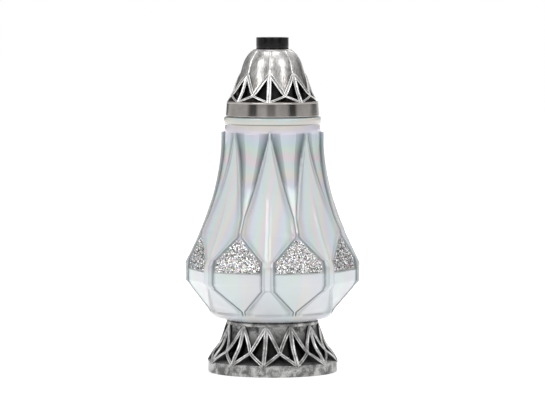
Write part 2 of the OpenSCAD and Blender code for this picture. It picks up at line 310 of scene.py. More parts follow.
@dataclass(frozen=True)
class TurnedSurface:
    """A surface of revolution through a table of (radius, height)."""

    table: tuple[tuple[float, float], ...]

    def radius(self, azimuth: Array, height: Array) -> Array:
        """Radius at an azimuth from a fan's middle and a height."""
        return through(np.array(self.table), height) + 0 * azimuth

    def point(self, azimuth: Array, height: Array, lift: float = 0.0) -> Array:
        """Points on the surface, or lifted off it along its normal.

        Args:
            azimuth: Azimuths in degrees.
            height: Heights in millimetres.
            lift: Distance outwards from the surface.

        Returns:
            Points of the inputs' shape plus an axis of three.
        """
        azimuth, height = np.broadcast_arrays(azimuth, height)
        r, a = self.radius(azimuth, height), np.radians(azimuth)
        place = np.stack([r * np.cos(a), r * np.sin(a), height], axis=-1)
        return place + lift * self.normal(azimuth, height) if lift else place

    def normal(self, azimuth: Array, height: Array) -> Array:
        """Outward unit normals, from the differences of nearby points."""
        around = self.point(azimuth + NORMAL_TURN, height) - self.point(azimuth - NORMAL_TURN, height)
        upward = self.point(azimuth, height + NORMAL_RISE) - self.point(azimuth, height - NORMAL_RISE)
        square = np.cross(around, upward)
        return square / np.linalg.norm(square, axis=-1, keepdims=True)


@dataclass(frozen=True)
class LobedSurface(TurnedSurface):
    """A dome of round lobes: each lobe is a circle about an axis of its own, and neighbours meet in a crease."""

    lobes: int = 8
    offset: float = 10.0

    def radius(self, azimuth: Array, height: Array) -> Array:
        """Radius at an azimuth from a crease: offset * cos a + sqrt((r - offset)^2 - (offset * sin a)^2)."""
        pitch = 360 / self.lobes
        a = np.radians(np.mod(azimuth, pitch) - pitch / 2)
        r = through(np.array(self.table), height)
        return self.offset * np.cos(a) + np.sqrt(
            (r - self.offset) ** 2 - (self.offset * np.sin(a)) ** 2
        )


# Half of a double-rail rib's section as (across, up), up to the groove in its middle
HALF_RAIL = np.array(
    [[-0.5, -2.6], [-0.5, 0.2], [-0.47, 0.7], [-0.4, 0.97], [-0.28, 1.0], [-0.17, 0.86], [-0.09, 0.5], [0.0, 0.4]]
)


@dataclass(frozen=True)
class FanRow:
    """A row of openwork fans: at each fan, a middle rib and two ribs that cross their neighbours at the nodes."""

    surface: TurnedSurface
    count: int
    turn: float
    apex: float
    node: float
    base: float
    middle_width: float
    long_width: float
    short_width: float
    rail: float
    below_apex: float = 0.0
    steps: int = 40

    @property
    def pitch(self) -> float:
        """Degrees between neighbouring fans."""
        return 360 / self.count

    def straight(
        self, start: tuple[float, float], end: tuple[float, float], steps: int
    ) -> tuple[Array, Array]:
        """A line on the surface that looks straight from outside, half way between its ends.

        The sideways distance r * sin(azimuth - view) runs evenly with the height.

        Args:
            start: Azimuth and height of the start.
            end: Azimuth and height of the end.
            steps: Points on the line.

        Returns:
            Azimuths and heights.
        """
        view = (start[0] + end[0]) / 2
        height = np.linspace(start[1], end[1], steps)
        ends = np.array([start[0], end[0]]) - view
        far = self.surface.radius(np.array([start[0], end[0]]), np.array([start[1], end[1]]))
        sideways = np.linspace(*(far * np.sin(np.radians(ends))), steps)
        r = far[0] + (far[1] - far[0]) * np.linspace(0, 1, steps)
        for _ in range(3):
            azimuth = view + np.degrees(np.arcsin(sideways / r))
            r = self.surface.radius(azimuth, height)
        return azimuth, height

    def rib(
        self, azimuth: Array, height: Array, width: Array, rise: Array
    ) -> Skin:
        """One double-rail rib along a line on the surface."""
        half = HALF_RAIL
        section = np.vstack([half, half[-2::-1] * [-1, 1]])
        path = self.surface.point(azimuth, height)
        return carried(path, self.surface.normal(azimuth, height), section, width, rise)

    @staticmethod
    def swell(t: Array, start: float, reach: float) -> Array:
        """A share along a line, from its start value up to 1 where the reach ends."""
        return start + (1 - start) * np.clip(t / reach, 0, 1)

    def ribs(self) -> Skin:
        """All the ribs of the row.

        A middle rib runs from its apex to its base. A crossing rib runs from the apex over the node, where it bends,
        to the next fan's base. Rails sink to nothing at the apex, where three of them meet.

        Returns:
            One skin with every rib.
        """
        n = self.steps
        t = np.linspace(0, 1, n)
        sunk = 0.35
        middle = self.rib(
            *self.straight((0, self.apex), (0, self.base - self.below_apex), n),
            self.middle_width * self.swell(t, 0.55, 0.22),
            1.06 * self.rail * self.swell(t, sunk, 0.16),
        )
        pieces = [middle]
        for side in (-1, 1):
            upper = self.straight((0, self.apex), (side * self.pitch / 2, self.node), n)
            lower = self.straight(
                (side * self.pitch / 2, self.node),
                (side * self.pitch, self.base - self.below_apex),
                n // 2,
            )
            azimuth, height = (np.concatenate([u, v[1:]]) for u, v in zip(upper, lower))
            smooth = np.array([1, 2, 3, 2, 1]) / 9
            for line in (azimuth, height):
                line[2:-2] = np.convolve(line, smooth, "valid")
            t = np.linspace(0, 1, len(azimuth))
            width = np.interp(
                t,
                [0, 0.14, 0.55, 0.72, 1],
                [0.55 * self.long_width, self.long_width, self.long_width, self.short_width, self.short_width],
            )
            pieces.append(
                self.rib(azimuth, height, width, self.rail * self.swell(t, sunk, 0.12))
            )
        return joined(pieces).repeated(self.count, self.turn)

    def panels(self, top: float, depth: float, wall: float, columns: int = 24, rows: int = 36) -> Skin:
        """The wall above the ribs, down to the middle of the diagonal ones, with its own inner face.

        Args:
            top: Height where the wall starts.
            depth: How far the wall lies below the surface.
            wall: Its thickness.
            columns: Points across one fan.
            rows: Points from the top to the diagonal.

        Returns:
            A closed skin with the paint "drop", from 0 at the top to 1 at the lowest height of the panels, and
            "crease", which is 1 on a fan's own azimuth and falls away over a millimetre or two.
        """
        azimuth = np.arange(columns * self.count) * self.pitch / columns
        line_azimuth, line_height = self.straight((0, self.apex), (self.pitch / 2, self.node), 60)
        local = np.mod(azimuth, self.pitch)
        low = np.interp(np.minimum(local, self.pitch - local), line_azimuth, line_height)
        share = np.linspace(0, 1, rows)[:, None]
        height = top + (low[None] - top) * share
        outer = self.surface.point(azimuth[None], height, -depth)
        inner = self.surface.point(azimuth[None], height, -depth - wall)[::-1]
        heights = np.concatenate([height, height[::-1]])
        nominal_radius, crease_width = 40.0, 0.9
        away = np.radians(np.minimum(local, self.pitch - local)) * nominal_radius
        paint = {
            "drop": (top - heights) / (top - self.node),
            "crease": np.broadcast_to(np.exp(-((away / crease_width) ** 2)), heights.shape).copy(),
        }
        skin = lofted(np.concatenate([outer, inner]), closed_along=True, paint=paint)
        return skin.repeated(1, self.turn)


def made(
    name: str,
    skin: Skin,
    body: Body,
    material: bpy.types.Material,
    replaces: tuple[str, ...] = (),
    sharp: float = 34.0,
) -> bpy.types.Object:
    """Puts a skin into a mesh object that rides on a CAD body.

    Args:
        name: The piece's name.
        skin: Its surface, in millimetres.
        body: The body that it moves with.
        material: Its finish.
        replaces: CAD nodes that the piece stands for.
        sharp: Angle between faces, in degrees, past which an edge stays crisp.

    Returns:
        The object.
    """
    mesh = bpy.data.meshes.new(name)
    n4, n3 = len(skin.quads), len(skin.tris)
    mesh.vertices.add(len(skin.points))
    mesh.vertices.foreach_set("co", (skin.points * MM).astype(np.float32).ravel())
    mesh.loops.add(4 * n4 + 3 * n3)
    mesh.loops.foreach_set(
        "vertex_index",
        np.concatenate([skin.quads.ravel(), skin.tris.ravel()]).astype(np.int32),
    )
    mesh.polygons.add(n4 + n3)
    mesh.polygons.foreach_set(
        "loop_start",
        np.concatenate([np.arange(n4) * 4, 4 * n4 + np.arange(n3) * 3]).astype(np.int32),
    )
    mesh.update(calc_edges=True)
    mesh.polygons.foreach_set("use_smooth", np.ones(n4 + n3, bool))
    for kind, values in skin.paint.items():
        if values.ndim == 1:
            layer = mesh.attributes.new(kind, "FLOAT", "POINT")
            layer.data.foreach_set("value", values.astype(np.float32))
        else:
            rgba = np.concatenate([values, np.ones((len(values), 1))], axis=1)
            layer = mesh.attributes.new(kind, "FLOAT_COLOR", "POINT")
            layer.data.foreach_set("color", rgba.astype(np.float32).ravel())
    mesh.set_sharp_from_angle(angle=math.radians(sharp))
    mesh.materials.append(material)
    obj = bpy.data.objects.new(name, mesh)
    bpy.context.scene.collection.objects.link(obj)
    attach(obj, body.value)
    if replaces:
        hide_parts(*replaces)
    log.info("%s: %d faces on %s", name, len(mesh.polygons), body.value)
    return obj


# ---------------------------------------------------------------- finishes


class Nodes:
    """Lays out the nodes of one tree."""

    def __init__(self, tree: bpy.types.NodeTree) -> None:
        """Empties the tree."""
        self.tree = tree
        tree.nodes.clear()

    def node(self, kind: str, inputs: dict[str | int, object] | None = None, **settings: object) -> bpy.types.Node:
        """Adds a node.

        Args:
            kind: Its type, without the "ShaderNode" in front.
            inputs: Values or output sockets for its inputs.
            **settings: Its own properties.

        Returns:
            The node.
        """
        node = self.tree.nodes.new("ShaderNode" + kind)
        for key, value in settings.items():
            setattr(node, key, value)
        for key, value in (inputs or {}).items():
            self.put(node.inputs[key], value)
        return node

    def put(self, socket: bpy.types.NodeSocket, value: object) -> None:
        """Sets an input to a value, or wires an output socket to it."""
        if isinstance(value, bpy.types.NodeSocket):
            self.tree.links.new(value, socket)
        else:
            socket.default_value = value

    def math(self, operation: str, a: object, b: object = 0.0, c: object = 0.0) -> bpy.types.NodeSocket:
        """A sum, product or other operation on two or three values."""
        return self.node("Math", {0: a, 1: b, 2: c}, operation=operation).outputs[0]

    def swing(self, value: object, amount: float) -> bpy.types.NodeSocket:
        """How far a value lies from its middle, times an amount."""
        return self.math("MULTIPLY", self.math("SUBTRACT", value, 0.5), amount)

    def between(self, value: object, low: float, high: float) -> bpy.types.NodeSocket:
        """A value from 0 to 1 carried over to a range."""
        return self.node("MapRange", {"Value": value, "To Min": low, "To Max": high}).outputs[0]

    def paint(self, name: str) -> bpy.types.NodeSocket:
        """What is painted on the mesh under that name, as a value."""
        return self.node("Attribute", attribute_name=name).outputs["Fac"]

    def place(self, stretch: tuple[float, float, float] = (1, 1, 1)) -> bpy.types.NodeSocket:
        """Object coordinates, stretched along the axes."""
        coords = self.node("TexCoord").outputs["Object"]
        return self.node("Mapping", {"Vector": coords, "Scale": stretch}).outputs[0]

    def noise(
        self, scale: float, detail: float = 3.0, place: object = None, rough: float = 0.5, warp: float = 0.0
    ) -> bpy.types.NodeSocket:
        """Cloudy noise, as a value near 0.5.

        Args:
            scale: Waves in a metre.
            detail: Octaves.
            place: Coordinates, or None for the object's own.
            rough: Strength of the finer octaves.
            warp: Distortion.

        Returns:
            The value's socket.
        """
        vector = place if place is not None else self.place()
        return self.node(
            "TexNoise",
            {"Vector": vector, "Scale": scale, "Detail": detail, "Roughness": rough, "Distortion": warp},
        ).outputs[0]

    def ramp(
        self, value: object, stops: list[tuple[float, Shade | float]], smooth: bool = False
    ) -> bpy.types.NodeSocket:
        """A colour for each value.

        Args:
            value: The value.
            stops: Places from 0 to 1, each with a colour or a grey.
            smooth: Whether the stops run into each other without a kink.

        Returns:
            The colour's socket.
        """
        node = self.node("ValToRGB", {"Fac": value})
        if smooth:
            node.color_ramp.interpolation = "EASE"
        rows = node.color_ramp.elements
        while len(rows) < len(stops):
            rows.new(1.0)
        for row, (place, shade) in zip(rows, stops):
            row.position = place
            row.color = (*((shade,) * 3 if isinstance(shade, (int, float)) else shade), 1)
        return node.outputs[0]

    def mix(self, share: object, a: object, b: object) -> bpy.types.NodeSocket:
        """A colour between two."""
        node = self.node("Mix", data_type="RGBA", clamp_factor=True)
        colours = [s for s in node.inputs if s.type == "RGBA"]
        self.put(node.inputs[0], share)
        for socket, value in zip(colours, (a, b)):
            if isinstance(value, tuple):
                value = (*value, 1)
            self.put(socket, value)
        return next(s for s in node.outputs if s.type == "RGBA")

    def bump(self, height: object, strength: float, distance: float) -> bpy.types.NodeSocket:
        """A normal bent by a height that is given in units of the distance."""
        return self.node(
            "Bump", {"Height": height, "Strength": strength, "Distance": distance}
        ).outputs[0]


class Bench(Nodes):
    """Lays out the nodes of one material around a surface shader."""

    def __init__(self, name: str) -> None:
        """Starts the material."""
        self.material = bpy.data.materials.new(name)
        self.material.use_nodes = True
        super().__init__(self.material.node_tree)
        self.shader = self.node("BsdfPrincipled")
        self.node("OutputMaterial", {"Surface": self.shader.outputs[0]})

    def surface(self, **inputs: object) -> None:
        """Sets the shader's inputs, whose names are given with underscores for spaces."""
        for key, value in inputs.items():
            self.put(self.shader.inputs[key.replace("_", " ")], value)


@dataclass(frozen=True)
class AgedSilver:
    """Silvered plastic with dark patina: bright on raised places, mottled, nearly black in hollows."""

    name: str
    bright: Shade
    dull: Shade
    dark: Shade
    patina: float
    roughness: tuple[float, float] = (0.3, 0.55)
    drop: tuple[tuple[float, float], ...] = ()
    raised: bool = False
    mottle: float = 90.0

    def make(self) -> bpy.types.Material:
        """Builds the material."""
        b = Bench(self.name)
        clouds = b.noise(self.mottle, 6, rough=0.62, warp=0.4)
        specks = b.noise(self.mottle * 9, 3, rough=0.7)
        wear = b.math("ADD", clouds, b.swing(specks, 0.35))
        silver = b.ramp(wear, [(0.34, self.dull), (0.62, self.bright)], smooth=True)
        stain = b.ramp(wear, [(0.36, 1.0), (0.66, 0.0)], smooth=True)
        share = b.math("MULTIPLY", stain, self.patina)
        if self.drop:
            fall = b.ramp(b.paint("drop"), list(self.drop))
            share = b.math("MAXIMUM", share, b.math("ADD", fall, b.swing(wear, 0.9)))
        if self.raised:
            share = b.math("MAXIMUM", share, b.ramp(b.paint("rail"), [(0.3, 0.92), (0.75, 0.0)], smooth=True))
        share = b.math("MINIMUM", b.math("MAXIMUM", share, 0.0), 1.0)
        b.surface(
            Base_Color=b.mix(share, silver, self.dark),
            Metallic=1.0,
            Roughness=b.between(wear, self.roughness[1], self.roughness[0]),
            Normal=b.bump(b.math("ADD", specks, clouds), 0.35, 0.0004),
        )
        return b.material


@dataclass(frozen=True)
class BrushedSilver:
    """Silvered dome with fine upright brush marks and a brownish shade low down."""

    name: str = "brushed_silver"

    def make(self) -> bpy.types.Material:
        """Builds the material."""
        b = Bench(self.name)
        fine = b.noise(900, 4, b.place((1, 1, 0.07)), 0.6)
        broad = b.noise(110, 4, b.place((1, 1, 0.3)), 0.55, 0.3)
        wear = b.math("ADD", b.math("MULTIPLY", fine, 0.45), b.math("MULTIPLY", broad, 0.55))
        high = b.ramp(wear, [(0.36, (0.24, 0.23, 0.22)), (0.62, (0.66, 0.65, 0.64))], smooth=True)
        low = b.ramp(wear, [(0.38, (0.055, 0.050, 0.046)), (0.64, (0.33, 0.315, 0.30))], smooth=True)
        shade = b.ramp(b.paint("drop"), [(0.30, 0.0), (0.92, 1.0)], smooth=True)
        crease = b.paint("crease")
        body = b.mix(shade, high, low)
        b.surface(
            Base_Color=b.mix(b.math("MULTIPLY", crease, 0.7), body, (0.90, 0.89, 0.88)),
            Metallic=1.0,
            Roughness=b.between(wear, 0.42, 0.24),
            Normal=b.bump(wear, 0.5, 0.0005),
        )
        return b.material


@dataclass(frozen=True)
class Metal:
    """Plain polished or dull metal with faint turning marks."""

    name: str
    shade: Shade
    cloud_tone: Shade
    roughness: float
    turning: float = 0.1
    coat: float = 0.0

    def make(self) -> bpy.types.Material:
        """Builds the material."""
        b = Bench(self.name)
        rings = b.noise(700, 2, b.place((0.05, 0.05, 1)), 0.5)
        cloud = b.noise(60, 4, rough=0.6)
        b.surface(
            # Second tone in clouds: random tone on most metals, painted dark reflection blotches on the polished hem
            # and the chimney
            Base_Color=b.mix(b.ramp(cloud, [(0.35, 0.0), (0.7, 1.0)]), self.shade, self.cloud_tone),
            Metallic=1.0,
            Roughness=b.between(cloud, self.roughness * 0.75, self.roughness * 1.4),
            Normal=b.bump(rings, self.turning, 0.0003),
            Coat_Weight=self.coat,
            Coat_Roughness=0.04,
        )
        return b.material


# One turn of the pearl coat's colours: cream, lilac, blue, green, pink, teal and cream again
PASTELS = (
    (0.00, (0.87, 0.82, 0.74)), (0.17, (0.79, 0.76, 0.87)), (0.33, (0.72, 0.82, 0.89)),
    (0.50, (0.74, 0.87, 0.79)), (0.67, (0.89, 0.76, 0.82)), (0.83, (0.73, 0.85, 0.85)),
    (1.00, (0.87, 0.82, 0.74)),
)


@dataclass(frozen=True)
class PearlGlass:
    """Pressed glass with a pearl coat: pale, half clear, with pastel bands and streaks, and painted dark lines of
    refraction shade at its edges.
    """

    name: str = "pearl_glass"
    clear: float = 0.45
    pale: Shade = (0.86, 0.895, 0.90)
    # Colour of the painted dark edge lines, which stand in for refraction shade
    line: Shade = (0.05, 0.085, 0.10)

    def make(self) -> bpy.types.Material:
        """Builds the material."""
        b = Bench(self.name)
        ripple = b.noise(26, 3, rough=0.5)
        phase = b.math("ADD", b.paint("film"), b.swing(ripple, 0.5))
        pastel = b.ramp(b.math("FRACT", phase), list(PASTELS))
        pale = b.mix(b.paint("bloom"), self.pale, pastel)
        # Painted shade: dark lines mixed in where the facets' edges refract the dark studio
        edge_shaded = b.mix(b.paint("line"), pale, self.line)
        b.surface(
            Base_Color=edge_shaded,
            Roughness=0.07,
            IOR=1.5,
            Transmission_Weight=self.clear,
            Coat_Weight=0.25,
            Coat_Roughness=0.03,
        )
        return b.material


@dataclass(frozen=True)
class Glitter:
    """Loose metal flakes, each in its own painted colour."""

    name: str = "glitter"

    def make(self) -> bpy.types.Material:
        """Builds the material."""
        b = Bench(self.name)
        colour = b.node("Attribute", attribute_name="flake").outputs["Color"]
        grain = b.noise(1500, 2)
        b.surface(
            Base_Color=b.mix(b.math("MULTIPLY", grain, 0.25), colour, (1.0, 1.0, 1.0)),
            Metallic=0.9,
            Roughness=0.22,
        )
        return b.material


@dataclass(frozen=True)
class GlitterBed:
    """The dark grey glue and fine glitter under the loose flakes."""

    name: str = "glitter_bed"

    def make(self) -> bpy.types.Material:
        """Builds the material."""
        b = Bench(self.name)
        cells = b.node("TexVoronoi", {"Vector": b.place(), "Scale": 1100.0})
        tone = b.ramp(
            cells.outputs["Color"], [(0.0, 0.02), (0.35, 0.12), (0.6, 0.45), (1.0, 0.9)]
        )
        b.surface(
            Base_Color=tone,
            Metallic=0.8,
            Roughness=0.3,
            Normal=b.bump(cells.outputs["Distance"], 0.8, 0.0005),
        )
        return b.material


@dataclass(frozen=True)
class Plain:
    """Moulded plastic, wax, cotton or adhesive: a cloudy colour with some light passing under its skin."""

    name: str
    shade: Shade
    second: Shade
    roughness: float
    grain: float = 160.0
    depth: float = 0.0
    clear: float = 0.0

    def make(self) -> bpy.types.Material:
        """Builds the material."""
        b = Bench(self.name)
        cloud = b.noise(self.grain, 4)
        b.surface(
            Base_Color=b.mix(cloud, self.shade, self.second),
            Roughness=self.roughness,
            Subsurface_Weight=self.depth,
            Subsurface_Scale=0.004,
            Transmission_Weight=self.clear,
            Normal=b.bump(cloud, 0.15, 0.0003),
        )
        return b.material


# ---------------------------------------------------------------- sub-assemblies


@dataclass(frozen=True)
class Foot:
    """The flared foot: a plain rim, fans of double-rail ribs over dark pockets, V-shaped panels and a collar."""

    rim_radius: float = 57.8
    rim_height: float = 10.3
    collar_radius: float = 41.3
    height: float = 46.4
    bore: float = 24.0
    flare: tuple[tuple[float, float], ...] = (
        (57.8, 10.3), (55.8, 13.9), (53.6, 17.2), (50.9, 20.4), (48.5, 23.6), (46.7, 26.8),
        (45.3, 30.2), (43.9, 34.0), (42.7, 37.6), (41.7, 41.2), (41.3, 46.0),
    )
    pocket: tuple[tuple[float, float], ...] = (
        (51.4, 13.4), (46.6, 18.2), (43.2, 24.0), (41.2, 31.0), (40.2, 37.0), (39.8, 43.0),
    )
    inside: tuple[tuple[float, float], ...] = (
        (54.8, 7.6), (49.8, 11.4), (44.9, 16.2), (41.2, 22.6), (39.0, 30.2), (38.0, 36.8), (37.6, 43.0),
    )

    def fans(self) -> FanRow:
        """The row of twelve fans."""
        return FanRow(
            TurnedSurface(self.flare), 12, -4.6, 43.6, 20.4, 10.6,
            middle_width=4.2, long_width=3.5, short_width=3.0, rail=1.0, below_apex=0.9,
        )

    def core(self) -> Skin:
        """The rim, the floor of the pockets, the collar, the seat and the inside, as one turned skin."""
        r, c = self.rim_radius, self.collar_radius
        profile = [
            (self.bore, self.height), (c - 0.6, self.height), (c, self.height - 0.6), (c, 43.2),
            *self.pocket[::-1], (r - 1.4, 10.6), (r - 0.2, self.rim_height), (r, 9.8), (r, 0.5), (r - 0.4, 0.0),
            (r - 3.0, 0.0), *self.inside, (self.bore, 43.0),
        ]
        return turned(np.array(profile), 240, 0.5, closed=True)

    def build(self) -> None:
        """Makes the foot's three pieces."""
        core = self.core()
        r = np.linalg.norm(core.points[:, :2], axis=1)
        z = core.points[:, 2]
        hollow = (r < np.interp(z, *np.array(self.flare).T[::-1]) - 1.2) & (z > 10.0) & (z < 43.2)
        deep = np.clip((z - 11.0) / 5.0, 0, 1)
        core.paint = {"drop": np.where(hollow, 0.35 + 0.65 * deep, 0.0)}
        silver = ((0.56, 0.555, 0.55), (0.27, 0.265, 0.26), (0.018, 0.017, 0.016))
        made(
            "foot_core", core, Body.BASE,
            AgedSilver("aged_silver_rim", *silver, patina=0.5, drop=((0.0, 0.0), (0.35, 0.35), (1.0, 1.3))).make(),
            ("foot",),
        )
        fans = self.fans()
        made(
            "foot_panels", fans.panels(45.0, 1.1, 0.9), Body.BASE,
            AgedSilver(
                "aged_silver_panels", *silver, patina=0.75, mottle=130.0,
                drop=((0.0, 0.0), (0.12, 0.18), (0.55, 0.85), (1.0, 1.3)),
            ).make(),
        )
        made(
            "foot_ribs", fans.ribs(), Body.BASE,
            AgedSilver(
                "aged_silver_ribs", (0.74, 0.735, 0.73), (0.38, 0.375, 0.37), (0.03, 0.029, 0.028),
                patina=0.35, raised=True, roughness=(0.22, 0.4),
            ).make(),
        )


# Stations across half a side of the vase where an edge gets a painted dark line of refraction shade, and how strong
# each line is
INNER_FOOT, CREST, OUTER_FOOT, STEP_FOOT = 4, 5, 6, 7
EDGE_SHADE_SHARES = {INNER_FOOT: 0.35, CREST: 0.25, OUTER_FOOT: 1.0, STEP_FOOT: 0.4}
# The heel from the pole outwards as (radius, height), and how far the sides' middles are flattened there
HEEL = np.array(
    [[0.3, 49.4], [20, 48.7], [27, 47.2], [29, 47], [42.5, 47], [46.8, 47.9], [51.6, 49.4], [55, 51.3], [57.2, 53.4]]
)
HEEL_FLAT = np.array([0, 0, 0, 0, 0, 0.1, 0.6, 1.5, 3.0])
# The ring bead, the neck and the lip, above the throat
BEAD_AND_LIP = [
    [43.1, 223.0], [43.6, 224.4], [43.6, 227.4], [43.1, 228.7], [41.6, 229.2], [38.6, 229.2], [38.0, 229.9],
    [38.0, 239.2], [37.2, 240.0], [35.3, 240.0], [34.5, 239.2],
]
# The inside, above and below the part that follows the lancets
INSIDE_TOP = [[34.5, 231.0], [36.0, 227.0], [37.6, 221.0], [38.6, 214.0]]
INSIDE_LOW = [
    [64.6, 110.0], [67.0, 98.3], [67.9, 90.0], [66.4, 83.0], [61.5, 75.6], [54.0, 67.0], [46.0, 59.6],
    [40.0, 56.0], [32.0, 54.0], [16.0, 54.0], [0.3, 54.0],
]


@dataclass(frozen=True)
class GlassVase:
    """The eight-sided pressed-glass vase: lancets, darts, kites, girdle, posts, lower panels, heel and ring bead."""

    sides: int = 8
    base: float = 47.0
    girdle_radius: float = 78.3
    girdle_low: float = 82.2
    girdle_top: float = 98.3
    shoulder: float = 45.3
    tip: float = 215.0
    node_radius: float = 66.5
    node: float = 128.4
    toe_radius: float = 58.0
    toe: float = 55.5
    rim: float = 0.8
    rim_half: float = 1.9
    recess: float = 1.3
    panel_low: float = 92.7
    post_width: float = 4.6
    dart_step: float = 2.2
    upright: float = 10.0
    lancet_power: float = 1.73
    wall: float = 4.2
    row_height: float = 1.3
    band_period: float = 44.0
    streak_width: float = 26.0
    streak_height: float = 170.0
    throat: tuple[float, float] = (42.4, 222.3)

    @property
    def half(self) -> float:
        """Degrees from a corner to the middle of a side."""
        return 180 / self.sides

    @property
    def corner(self) -> float:
        """Radius of the facets' corners under the raised posts."""
        return self.girdle_radius - self.rim

    @property
    def facet(self) -> float:
        """Radius at the middle of a side of the girdle."""
        return self.corner * math.cos(math.radians(self.half))

    def lancet(self, z: Array) -> Array:
        """Radius down the middle of a lancet: the shoulder plus a power of the distance below its upright part."""
        start = self.tip - self.upright
        fall = np.maximum(0, start - z) / (start - self.girdle_top)
        return self.shoulder + (self.corner - self.shoulder) * fall**self.lancet_power

    def down(self, z: Array) -> Array:
        """How far down a lancet a height is, from 0 at its tip to 1 at the nodes."""
        return (self.tip - z) / (self.tip - self.node)

    def edge(self, z: Array) -> Array:
        """The facets' edge at each height as a plan point: down the lancet, the kite, the post and the lower panel."""
        down = self.down(z)
        at_node = self.lancet(np.array(self.node))
        r = self.lancet(z) * (1 + (self.node_radius / at_node - 1) * down**2)
        a = np.radians(self.half * (1.12 * down - 0.12 * down**3))
        lancet = np.stack([r * np.cos(a), r * np.sin(a)], -1)
        turn = math.radians(self.half)
        side = np.array([math.cos(turn), math.sin(turn)])
        corner = np.array([self.corner, 0.0])
        kite_share = np.clip((self.node - z) / (self.node - self.girdle_top), 0, 1)[..., None]
        kite = self.node_radius * side + (corner - self.node_radius * side) * kite_share
        low_share = np.clip((self.girdle_low - z) / (self.girdle_low - self.toe), 0, 1)[..., None]
        low = corner + (self.toe_radius * side - corner) * low_share
        up = z[..., None]
        return np.where(up >= self.node, lancet, np.where(up >= self.girdle_low, kite, low))

    def middle(self, z: Array) -> Array:
        """Radius at the middle of a side: round darts above the nodes, flat facets below them."""
        norm = np.linalg.norm(self.edge(z), axis=-1)
        dart = norm - 0.4 - self.dart_step * (1 - self.down(z))
        upper = np.interp(z, [self.panel_low, self.node], [self.facet, self.node_radius])
        lower = np.interp(z, [self.toe, self.girdle_low], [self.toe_radius, self.facet])
        return np.where(z >= self.node, dart, np.where(z >= self.girdle_low, upper, lower))

    def side_at(self, z: Array, a: Array) -> Array:
        """Radius of a side at an azimuth, in degrees from its corner."""
        flat = self.middle(z) / np.cos(np.radians(self.half - a))
        return np.where(z >= self.node, self.middle(z), flat)

    def half_side(self, z: Array) -> tuple[Array, Array, Array]:
        """Half of one side at each height, from the corner's line to the side's middle.

        The stations are the corner, the ridge beside it, the face of the lancet, kite or post, the rim's inner foot,
        crest and outer foot, the foot of the step, and the side.

        Args:
            z: Heights of shape (n,).

        Returns:
            Plan points of shape (n, stations, 2), the paint "line", which is painted dark edge shade, and the paint
            "face" of shape (n, stations).
        """
        post = (z <= self.girdle_top + 5.5) & (z >= self.girdle_low - 4)
        e = self.edge(z)
        norm = np.linalg.norm(e, axis=-1)
        rim_half = np.interp(z, [190, self.tip], [self.rim_half, 0.7])
        spread = np.degrees(np.arcsin(np.where(post, self.post_width, rim_half) / norm))
        crest = np.maximum(
            spread, np.minimum(self.half - spread - 0.9, np.degrees(np.arctan2(e[:, 1], e[:, 0])))
        )
        inner = np.maximum(0.5 * crest, crest - spread)
        ridge = np.minimum(0.5 * inner, np.degrees(np.arcsin(2.7 / norm)))
        outer = np.where(post, crest + 0.7, crest + spread)
        step = np.where(z < self.node, 1.0, 0.5 * (self.half - outer))
        foot = np.minimum(outer + step, 0.5 * (outer + self.half))
        sunk = np.where((z < self.node) & (z > self.panel_low), self.recess, 0.0)
        corner = np.where(
            z >= self.girdle_top, self.lancet(z), np.where(z > self.girdle_low, self.corner, e[:, 0])
        )
        face = corner + self.rim
        raised = np.where(z > self.girdle_top, self.rim * np.interp(z, [150, 165], [1, 0]), 0.0)

        def polar(r: Array, a: Array) -> Array:
            """Plan points from radii and azimuths in degrees."""
            a = np.radians(a)
            return np.stack([r * np.cos(a), r * np.sin(a)], -1)

        def on_face(a: Array) -> Array:
            """Plan points on the straight line from the corner to the foot of the rim, or on the post's face."""
            q = polar(norm, crest)
            rad = np.radians(a)
            ray = (corner * q[:, 1]) / (np.cos(rad) * q[:, 1] - np.sin(rad) * (q[:, 0] - corner))
            return polar(np.where(post, face / np.cos(rad), ray), a)

        first = np.stack([np.where(post, face, corner + raised), 0 * z], -1)
        stations = [first, on_face(ridge)]
        stations += [on_face(ridge + (inner - ridge) * t) for t in (0.33, 0.67)]
        stations += [on_face(inner)]
        top = polar(
            np.where(post, corner / np.cos(np.radians(crest)), norm + self.rim), crest
        )
        stations += [top, polar(self.side_at(z, outer), outer)]

        def on_side(a: Array) -> Array:
            """Plan points on the side's own surface, or on the floor of its recess."""
            return polar(self.side_at(z, a) - sunk / np.cos(np.radians(self.half - a)), a)

        stations += [on_side(foot + (self.half - foot) * t) for t in (0.0, 0.06, 0.2, 0.4, 0.6, 0.8, 1.0)]
        points = np.stack(stations, 1)
        n = points.shape[1]
        # Painted dark edge lines of refraction shade, by height and by station
        rim_edge_shade = np.interp(z, [self.toe, 70, 128, 160, 200, 215], [0.9, 0.75, 0.6, 0.75, 0.85, 0.6])
        line = np.zeros((len(z), n))
        for station, share in EDGE_SHADE_SHARES.items():
            line[:, station] = share * rim_edge_shade
        on_lancet = np.zeros((len(z), n))
        on_lancet[:, : CREST + 1] = 1
        return points, line, on_lancet

    def rings(self) -> tuple[Array, dict[str, Array]]:
        """All the rings of the vase: up the outside from the pole, over the lip, and down the inside.

        Returns:
            Points of shape (rings, columns, 3), and the paint by name.
        """
        keys = [
            self.tip, 190, 165, self.node, self.girdle_top + 6.1, self.girdle_top + 5.5, self.girdle_top,
            self.panel_low + 0.3, self.panel_low - 0.7, self.girdle_low, self.girdle_low - 4,
            self.girdle_low - 4.6, self.toe,
        ]
        rows = [
            np.linspace(a, b, max(1, round((a - b) / self.row_height)), endpoint=False)
            for a, b in zip(keys[:-1], keys[1:])
        ]
        z = np.append(np.concatenate(rows), self.toe)[::-1]
        half, line, lancet = self.half_side(z)
        mirror = np.array([1, -1])
        side = np.concatenate([half[:, :0:-1] * mirror, half], axis=1)
        line = np.concatenate([line[:, :0:-1], line], axis=1)
        lancet = np.concatenate([lancet[:, :0:-1], lancet], axis=1)
        side, line, lancet = self.soften_side(side, [line, lancet])
